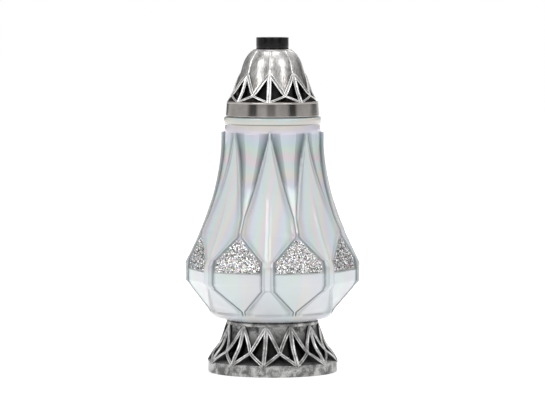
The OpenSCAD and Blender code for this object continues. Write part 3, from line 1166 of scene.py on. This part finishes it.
        # Each side is turned to its own corner, and its last column is the next side's first
        turn = np.radians(np.arange(self.sides) * 2 * self.half)[:, None, None]
        x, y = side[None, :, :-1, 0], side[None, :, :-1, 1]
        wall = np.stack([x * np.cos(turn) - y * np.sin(turn), x * np.sin(turn) + y * np.cos(turn)], -1)
        wall = wall.transpose(1, 0, 2, 3).reshape(len(z), -1, 2)
        wall = np.concatenate([wall, np.broadcast_to(z[:, None, None], (*wall.shape[:2], 1))], -1)
        line = np.tile(line[:, :-1], (1, self.sides))
        lancet = np.tile(lancet[:, :-1], (1, self.sides))

        def round_rings(profile: Array, like: Array, flat: Array | None = None) -> Array:
            """Rings of a turned surface, with their columns at the azimuths of another ring."""
            azimuth = np.arctan2(like[:, 1], like[:, 0])
            share = np.abs((np.degrees(azimuth) + self.half) % (2 * self.half) - self.half) / self.half
            r = profile[:, :1] - (0 if flat is None else flat[:, None]) * (1 - share)[None]
            r = np.broadcast_to(r, (len(profile), len(azimuth)))
            return np.stack(
                [r * np.cos(azimuth), r * np.sin(azimuth), np.broadcast_to(profile[:, 1:], r.shape)], -1
            )

        tip_r = float(self.middle(np.array([self.tip]))[0]) + 0.2
        r, t = self.throat
        to_throat = [[tip_r, self.tip + 1.0], [r + 0.25, t - 2.8], [r, t - 0.3], [r + 0.2, t]]
        neck = softened(np.array(to_throat + BEAD_AND_LIP), 0.5, 4)
        along = [[float(self.lancet(np.array(h))) - self.wall, h] for h in np.arange(206.0, 112.0, -4.0)]
        inside = np.array(INSIDE_TOP + along + INSIDE_LOW)
        below = round_rings(HEEL, wall[0], HEEL_FLAT)
        above = round_rings(np.vstack([neck, inside]), wall[-1])
        rings = np.concatenate([below, wall, above])
        blank = [np.zeros(below.shape[:2]), np.zeros(above.shape[:2])]
        # Painted dark lines of refraction shade on the heel's lower rings and above and below the ring bead
        blank[0][4:7] = np.array([0.5, 0.35, 0.1])[:, None]
        height = above[..., 2]
        radius = np.linalg.norm(above[..., :2], axis=-1)
        outer = radius > 40.5
        # Painted dark lines of refraction shade above and below the ring bead
        bead = np.exp(-(((height - 222.6) / 0.5) ** 2)) * 0.8 + np.exp(-(((height - 228.9) / 0.45) ** 2)) * 0.9
        blank[1] += np.where(outer, bead, 0)
        line = np.concatenate([blank[0], line, blank[1]])
        lancet = np.concatenate([0 * blank[0], lancet, 0 * blank[1]])
        return rings, self.coat(rings, line, lancet)

    def soften_side(self, side: Array, paints: list[Array]) -> tuple[Array, ...]:
        """Rounds the plan corners of a side at every height, as softened does for one line.

        Args:
            side: Plan points of shape (n, stations, 2).
            paints: Paints of shape (n, stations), which are carried over.

        Returns:
            The rounded side and paints, with three columns for each corner but one at either end.
        """
        leg_a, leg_b = side[:, :-2] - side[:, 1:-1], side[:, 2:] - side[:, 1:-1]
        a, b = (
            side[:, 1:-1]
            + leg * np.minimum(PLAN_SHARE, PLAN_RADIUS / np.maximum(np.linalg.norm(leg, axis=-1, keepdims=True), TINY))
            for leg in (leg_a, leg_b)
        )
        m = 0.25 * a + 0.5 * side[:, 1:-1] + 0.25 * b
        triple = np.stack([a, m, b], 2).reshape(len(side), -1, 2)
        out = [np.concatenate([side[:, :1], triple, side[:, -1:]], 1)]
        for paint in paints:
            middle = np.repeat(paint[:, 1:-1], 3, axis=1)
            out.append(np.concatenate([paint[:, :1], middle, paint[:, -1:]], 1))
        return tuple(out)

    def coat(self, rings: Array, line: Array, lancet: Array) -> dict[str, Array]:
        """What the pearl coat shows at each point.

        Bands run level on the darts, one colour every 7 mm. On lancets and kites the phase runs sideways, so that the
        colours stand as streaks, and below the girdle the coat is nearly white.

        Args:
            rings: The vase's points.
            line: Painted dark edge lines, standing in for refraction shade at the edges.
            lancet: 1 on the faces of lancets and kites.

        Returns:
            The paints "film" (phase), "bloom" (strength) and "line" (painted edge shade).
        """
        x, y, z = rings[..., 0], rings[..., 1], rings[..., 2]
        azimuth = np.degrees(np.arctan2(y, x))
        local = (azimuth + self.half) % (2 * self.half) - self.half
        sideways = np.radians(local) * np.hypot(x, y)
        bands = (222 - z) / self.band_period
        streaks = 0.35 + sideways / self.streak_width + (self.tip - z) / self.streak_height
        film = np.where(lancet > 0, streaks, bands + 0.02 * np.sin(sideways))
        film = np.where(z < self.panel_low, 0.02 + z / 300 + sideways / 120, film)
        bloom = np.where(
            lancet > 0,
            np.interp(z, [self.girdle_low, 100, 130, 170, 215], [0.3, 0.8, 1.0, 0.75, 0.45]),
            np.interp(z, [self.toe, self.girdle_low, self.node, 160, 190, 222], [0.5, 0.45, 0.9, 0.8, 1.0, 1.0]),
        )
        return {"film": film, "bloom": bloom, "line": line}

    def build(self) -> None:
        """Makes the vase."""
        rings, paint = self.rings()
        made("glass_vase", lofted(rings, paint=paint), Body.BASE, PearlGlass().make(), ("glass",), 28.0)


@dataclass(frozen=True)
class GlitterFields:
    """Coarse flakes on the eight panels above the girdle."""

    vase: GlassVase
    pitch: float = 0.98
    seed: int = 11
    corners: int = 5
    radii: tuple[float, float] = (0.42, 0.88)
    lifts: tuple[float, float] = (0.75, 1.35)
    tilt: float = 0.30
    half_thick: float = 0.07
    margin: float = 0.9

    def build(self) -> None:
        """Makes the flakes: flat five-sided double pyramids, strewn over each panel with a random turn and tilt."""
        v, rng = self.vase, np.random.default_rng(self.seed)
        lean = math.atan2(v.facet - v.node_radius, v.node - v.panel_low)
        length = (v.node - v.panel_low - 0.8) / math.cos(lean)
        s, t = np.meshgrid(np.arange(6.5, length, self.pitch), np.arange(-28, 28, self.pitch), indexing="ij")
        s = s.ravel() + rng.uniform(-0.5, 0.5, s.size) * self.pitch
        t = t.ravel() + rng.uniform(-0.5, 0.5, t.size) * self.pitch
        z = v.node - s * math.cos(lean)
        points, _, _ = v.half_side(z)
        foot = np.arctan2(points[:, STEP_FOOT, 1], points[:, STEP_FOOT, 0])
        reach = v.middle(z) * np.tan(math.radians(v.half) - foot) - self.margin
        low = np.interp(length - 5.6, s[np.argsort(s)], reach[np.argsort(s)])
        keep = (np.abs(t) < np.minimum(reach, low)) & (s < length - 0.3) & (s > 6.8)
        s, t = s[keep], t[keep]
        count = len(s)
        n = self.corners
        size = rng.uniform(*self.radii, count)
        lift = rng.uniform(*self.lifts, count)
        spin = rng.uniform(0, 2 * np.pi, count)
        tilt = rng.normal(0, self.tilt, (count, 2))
        corner = spin[:, None] + np.arange(n) * 2 * np.pi / n
        wobble = rng.uniform(0.75, 1.15, (count, n))
        u, w = (size[:, None] * wobble * f(corner) for f in (np.cos, np.sin))
        flat = np.stack([u, w, 0 * u], -1)
        poles = np.zeros((count, 2, 3))
        poles[:, 0, 2], poles[:, 1, 2] = self.half_thick, -self.half_thick
        flake = np.concatenate([flat, poles], axis=1)
        flake[..., 2] += flake[..., 0] * tilt[:, :1] + flake[..., 1] * tilt[:, 1:]
        along = s[:, None] + flake[..., 0]
        across = t[:, None] + flake[..., 1]
        out = lift[:, None] + flake[..., 2]
        down = np.array([math.sin(lean), 0, -math.cos(lean)])
        face = np.array([math.cos(lean), 0, math.sin(lean)])
        origin = np.array([v.node_radius - v.recess, 0, v.node])
        points = (
            origin + along[..., None] * down + across[..., None] * np.array([0, 1, 0]) + out[..., None] * face
        )
        ring = np.arange(n)
        after = (ring + 1) % n
        one = np.vstack([
            np.stack([ring, after, np.full(n, n)], -1),
            np.stack([after, ring, np.full(n, n + 1)], -1),
        ])
        tris = (one[None] + (n + 2) * np.arange(count)[:, None, None]).reshape(-1, 3)
        skin = Skin(points.reshape(-1, 3), np.zeros((0, 4), int), tris, {}).outward()
        field_of_all = skin.repeated(v.sides, v.half)
        colours = self.colours(rng, count * v.sides)
        field_of_all.paint["flake"] = np.repeat(colours, n + 2, axis=0)
        made("glitter_flakes", field_of_all, Body.BASE, Glitter().make(), sharp=1.0)

    def colours(self, rng: np.random.Generator, count: int) -> Array:
        """A colour for each flake: mostly white and silver, some grey, black and brown, and a few rainbow ones.

        Args:
            rng: Source of random numbers.
            count: How many flakes.

        Returns:
            Colours of shape (count, 3).
        """
        palette = np.array([
            (0.97, 0.97, 0.98), (0.80, 0.80, 0.81), (0.52, 0.51, 0.51), (0.16, 0.15, 0.15), (0.035, 0.03, 0.03),
            (0.30, 0.20, 0.15), (0.85, 0.62, 0.72), (0.60, 0.72, 0.90), (0.62, 0.85, 0.68), (0.90, 0.78, 0.55),
        ])
        share = np.array([0.30, 0.22, 0.12, 0.10, 0.09, 0.05, 0.04, 0.03, 0.03, 0.02])
        pick = rng.choice(len(palette), count, p=share / share.sum())
        return np.clip(palette[pick] * rng.uniform(0.85, 1.1, (count, 1)), 0, 1)


@dataclass(frozen=True)
class Lid:
    """The lift-off lid: eight brushed petals, openwork fans of bright ribs, a polished hem and a dark lining that is
    painted shade behind the windows.
    """

    turn: float = -2.0
    hem_low: float = 229.5
    hem_radius: float = 41.8
    hem_inner: float = 39.0
    hem_top: float = 242.4
    hem_top_radius: float = 40.7
    dome_top: float = 289.3
    chimney_radius: float = 14.5
    dome: tuple[tuple[float, float], ...] = (
        (40.3, 242.4), (38.2, 246.6), (35.9, 250.6), (34.2, 254.6), (32.9, 258.2), (31.5, 262.0),
        (29.8, 266.6), (28.5, 271.0), (27.3, 275.4), (25.7, 279.6), (23.6, 283.2), (21.0, 286.4),
        (18.6, 288.4), (16.4, 289.3),
    )

    def fans(self) -> FanRow:
        """The row of eight fans, which stand on the creases between the petals."""
        return FanRow(
            LobedSurface(self.dome), 8, self.turn, 268.2, 248.2, 242.6,
            middle_width=4.3, long_width=3.8, short_width=2.0, rail=0.9, below_apex=0.3,
        )

    def petals(self) -> Skin:
        """The petals above the fans, closed towards the chimney by a narrow shoulder."""
        return self.fans().panels(self.dome_top - 0.15, 0.35, 1.4, columns=44, rows=56)

    def creases(self) -> Skin:
        """The slim ridge in each crease, from the chimney down to the fan's apex."""
        fans = self.fans()
        azimuth, height = fans.straight((0, self.dome_top - 0.4), (0, fans.apex - 1.0), 36)
        t = np.linspace(0, 1, 36)
        half = np.array([[-0.5, -1.6], [-0.5, 0.0], [-0.3, 0.7], [0.0, 1.0]])
        section = np.vstack([half, half[-2::-1] * [-1, 1]])
        path = fans.surface.point(azimuth, height)
        up = fans.surface.normal(azimuth, height)
        ridge = carried(path, up, section, 1.0 + 1.4 * t, 0.25 + 0.35 * t)
        return ridge.repeated(8, self.turn)

    def hem(self) -> Skin:
        """The hem with its sloping sill, and the inner wall behind it, as one turned skin."""
        r, top = self.hem_top_radius, self.hem_top
        return turned(
            np.array([
                (self.hem_inner, self.hem_low), (self.hem_radius - 0.4, self.hem_low),
                (self.hem_radius, self.hem_low + 0.5), (r + 0.25, top - 1.1), (r + 0.35, top - 0.3),
                (r - 0.2, top + 0.3), (r - 1.0, top + 0.5), (33.4, 245.9), (33.0, 245.2), (34.4, 240.8),
                (self.hem_inner, 240.6),
            ]),
            240, 0.35, closed=True,
        )

    def lining(self) -> Skin:
        """The tin bell under the dome, from the chimney to behind the windows, made near black as painted shade inside
        the lid.
        """
        outer = [
            (16.5, 285.0), (20.6, 280.0), (23.8, 272.6), (27.0, 262.0), (30.4, 253.4), (32.0, 246.4), (32.6, 243.4),
        ]
        sheet, drop = 0.5, 0.15
        inner = [(r - sheet, z - drop) for r, z in outer[::-1]]
        return turned(np.array(outer + inner), 144, 0.2, closed=True)

    def shoulder(self) -> Skin:
        """The ring that carries the chimney."""
        r, top = self.chimney_radius, self.dome_top
        return turned(
            np.array([
                (r + 0.06, top - 2.6), (r + 0.06, top - 0.1), (r + 0.5, top + 0.2), (r + 1.2, top + 0.15),
                (r + 2.6, top - 0.3), (r + 3.4, top - 1.4), (r + 2.6, top - 2.6),
            ]),
            192, 0.3, closed=True,
        )

    def build(self) -> None:
        """Makes the lid's pieces."""
        brushed = BrushedSilver().make()
        made("lid_petals", self.petals(), Body.LID, brushed, ("lid_shell",), 60.0)
        bright = AgedSilver(
            "bright_silver_ribs", (0.86, 0.855, 0.85), (0.55, 0.545, 0.54), (0.05, 0.048, 0.046),
            patina=0.2, raised=True, roughness=(0.16, 0.32),
        ).make()
        creases = self.creases()
        creases.paint["rail"] = np.ones(len(creases.points))
        made("lid_ribs", joined([self.fans().ribs(), creases]), Body.LID, bright)
        # Polished silver hem whose darkened grey and darker clouds are painted reflection of the dark studio
        polished = Metal("polished_hem_painted_reflection", (0.50, 0.475, 0.455), (0.36, 0.33, 0.31), 0.10, 0.05).make()
        made("lid_hem", self.hem(), Body.LID, polished)
        ring = Metal("shoulder_silver", (0.55, 0.54, 0.53), (0.40, 0.39, 0.38), 0.3, 0.1).make()
        made("lid_shoulder", self.shoulder(), Body.LID, ring)
        # Tin heat shield, made near black as painted shade seen through the windows
        shield_shade = Metal("shield_tin_painted_shade", (0.035, 0.034, 0.033), (0.012, 0.012, 0.012), 0.6, 0.1).make()
        made("heat_shield_bell", self.lining(), Body.LID, shield_shade, ("heat_shield",))


@dataclass(frozen=True)
class Chimney:
    """The polished tin tube with a rolled edge, made near black as a painted reflection of the dark studio. Its pierced
    cap stays the CAD node.
    """

    radius: float = 14.5
    top: float = 300.0
    low: float = 266.0
    sheet: float = 0.6

    def tube(self) -> Skin:
        """The tube as a turned loop: a straight wall, a shallow crimp at the dome and a rolled edge."""
        r, t = self.radius, self.top
        return turned(
            np.array([
                (r - self.sheet, self.low), (r, self.low), (r, 290.4), (r - 0.12, 290.7), (r - 0.12, 291.2), (r, 291.5),
                (r, t - 1.5), (r + 0.02, t - 0.4), (r - 0.35, t), (r - 1.0, t), (r - 1.15, t - 0.6),
                (r - self.sheet, t - 1.3),
            ]),
            192, 0.25, closed=True,
        )

    def build(self) -> None:
        """Makes the tube."""
        # Near-black colour: painted reflection of the dark studio on polished tin
        dark = Metal("chimney_tin_dark_reflection", (0.022, 0.021, 0.021), (0.010, 0.010, 0.010), 0.14, 0.06, coat=0.25).make()
        made("chimney_tube", self.tube(), Body.LID, dark, ("chimney",))


@dataclass(frozen=True)
class CarriedNodes:
    """CAD nodes that stay shown, each with its own finish."""

    finishes: dict[str, Callable[[], bpy.types.Material]] = field(
        default_factory=lambda: {
            "seat_bead": Plain("clear_adhesive", (0.86, 0.87, 0.86), (0.80, 0.81, 0.80), 0.25, clear=0.4).make,
            "glitter_panels": GlitterBed().make,
            "chimney_cap": Metal("vent_steel", (0.20, 0.19, 0.19), (0.10, 0.10, 0.10), 0.35, 0.2).make,
            "candle_cup": Plain("cup_plastic", (0.94, 0.94, 0.93), (0.90, 0.90, 0.88), 0.35, depth=0.3).make,
            "candle_wax": Plain("candle_wax", (0.95, 0.93, 0.87), (0.90, 0.87, 0.79), 0.45, 90.0, 0.8).make,
            "candle_wick": Plain("wick_cotton", (0.90, 0.88, 0.82), (0.72, 0.69, 0.62), 0.9, 2400.0).make,
            "wick_holder": Metal("holder_tin", (0.78, 0.78, 0.79), (0.62, 0.62, 0.63), 0.3, 0.2).make,
            "candle_cover": Metal("cover_tin", (0.90, 0.74, 0.42), (0.80, 0.64, 0.34), 0.25, 0.3).make,
        }
    )

    def build(self) -> None:
        """Gives each node its material."""
        for name, finish in self.finishes.items():
            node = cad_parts[name]
            node.data.materials.clear()
            node.data.materials.append(finish())
            log.info("%s: CAD node, dressed", name)


# ---------------------------------------------------------------- studio


@dataclass(frozen=True)
class Studio:
    """White floor, even soft light with a few dark flags for the metal to show, and the photograph's camera."""

    azimuth: float = 3.2
    elevation: float = 3.6
    distance: float = 3.14
    target: float = 0.154
    lens: float = 231.0
    tent: float = 0.92
    floor_half: float = 6.0
    floor_glow: float = 0.34

    def floor(self) -> None:
        """A wide, plain, nearly white floor."""
        h = self.floor_half
        mesh = bpy.data.meshes.new("floor")
        mesh.from_pydata([(-h, -h, 0), (h, -h, 0), (h, h, 0), (-h, h, 0)], [], [(0, 1, 2, 3)])
        bench = Bench("white_floor")
        bench.surface(
            Base_Color=bench.mix(bench.noise(3.0, 2), (0.93, 0.93, 0.93), (0.92, 0.92, 0.92)), Roughness=0.75,
            Emission_Strength=self.floor_glow,
        )
        mesh.materials.append(bench.material)
        floor = bpy.data.objects.new("floor", mesh)
        bpy.context.scene.collection.objects.link(floor)

    def sky(self) -> None:
        """The world: white to the camera, and to everything else a bright tent with upright dark flags."""
        world = bpy.data.worlds.new("studio")
        bpy.context.scene.world = world
        world.use_nodes = True
        n = Nodes(world.node_tree)
        way = n.node("SeparateXYZ", {0: n.node("TexCoord").outputs["Generated"]})
        angle = n.math("ARCTAN2", way.outputs[1], way.outputs[0])
        turn = n.math("MULTIPLY_ADD", angle, 1 / (2 * math.pi), 0.5)
        rise = n.math("MULTIPLY_ADD", way.outputs[2], 0.5, 0.5)
        level = n.ramp(rise, [(0.0, 0.75), (0.47, 0.8), (0.56, 0.62), (0.70, 0.75), (0.82, 1.0), (1.0, 0.9)])
        near = n.ramp(rise, [(0.44, 0.0), (0.5, 1.0), (0.62, 1.0), (0.74, 0.0)])
        dim = n.node("Mix", {0: near, 2: 1.0, 3: n.ramp(turn, self.flags())}, data_type="FLOAT").outputs[0]
        power = n.math("MULTIPLY", n.math("MULTIPLY", level, dim), self.tent)
        seen = n.node("LightPath").outputs["Is Camera Ray"]
        strength = n.node("Mix", {0: seen, 2: power, 3: 1.0}, data_type="FLOAT").outputs[0]
        shine = n.node("Background", {"Color": (1, 1, 1, 1), "Strength": strength})
        n.node("OutputWorld", {"Surface": shine.outputs[0]})

    @staticmethod
    def flags() -> list[tuple[float, float]]:
        """Greys around the horizon, from azimuth -180 to 180 degrees, as shares of a turn."""
        return [
            (0.00, 1.0), (0.07, 0.9), (0.10, 0.15), (0.14, 0.15), (0.16, 0.9), (0.21, 1.0), (0.23, 0.45),
            (0.27, 0.45), (0.29, 1.0), (0.36, 0.9), (0.385, 0.1), (0.42, 0.1), (0.44, 0.8), (0.55, 1.0),
            (0.60, 0.3), (0.65, 0.3), (0.68, 1.0), (0.77, 0.7), (0.80, 0.12), (0.84, 0.12), (0.87, 0.9), (1.0, 1.0),
        ]

    def lamps(self) -> None:
        """Soft boxes high in front on either side, and one overhead."""
        for name, where, size, power in (
            ("box_left", (-0.9, -1.1, 1.35), 0.8, 8.0),
            ("box_right", (1.0, -1.0, 1.3), 0.7, 6.0),
            ("box_back", (0.2, 1.4, 1.2), 0.9, 4.0),
            ("box_top", (0.0, 0.0, 1.9), 1.0, 6.0),
        ):
            light = bpy.data.lights.new(name, "AREA")
            light.shape, light.size, light.energy = "SQUARE", size, power
            lamp = bpy.data.objects.new(name, light)
            lamp.location = where
            aim = Vector((0, 0, 0.15)) - Vector(where)
            lamp.rotation_euler = aim.to_track_quat("-Z", "Y").to_euler()
            lamp.visible_camera = False
            bpy.context.scene.collection.objects.link(lamp)

    def camera(self) -> None:
        """The photograph's camera: a long lens, slightly above the horizon."""
        data = bpy.data.cameras.new("camera")
        data.lens, data.sensor_width = self.lens, 36.0
        a, e = math.radians(self.azimuth), math.radians(self.elevation)
        back = Vector((math.sin(a) * math.cos(e), -math.cos(a) * math.cos(e), math.sin(e)))
        camera = bpy.data.objects.new("camera", data)
        camera.location = Vector((0, 0, self.target)) + back * self.distance
        camera.rotation_euler = (-back).to_track_quat("-Z", "Y").to_euler()
        bpy.context.scene.collection.objects.link(camera)
        bpy.context.scene.camera = camera

    def build(self) -> None:
        """Sets up the studio."""
        self.floor()
        self.sky()
        self.lamps()
        self.camera()
        bpy.context.scene.view_settings.view_transform = "Standard"
        log.info("studio: floor, light and camera")


def write_sizes() -> None:
    """Updates the view layer.
    """
    bpy.context.view_layer.update()


def main() -> None:
    """Builds the lantern piece by piece."""
    logging.basicConfig(level=logging.INFO, format="%(name)s: %(message)s")
    vase = GlassVase()
    for assembly in (Foot(), vase, GlitterFields(vase), Lid(), Chimney(), CarriedNodes(), Studio()):
        assembly.build()
    write_sizes()


if __name__ == "__main__":
    main()
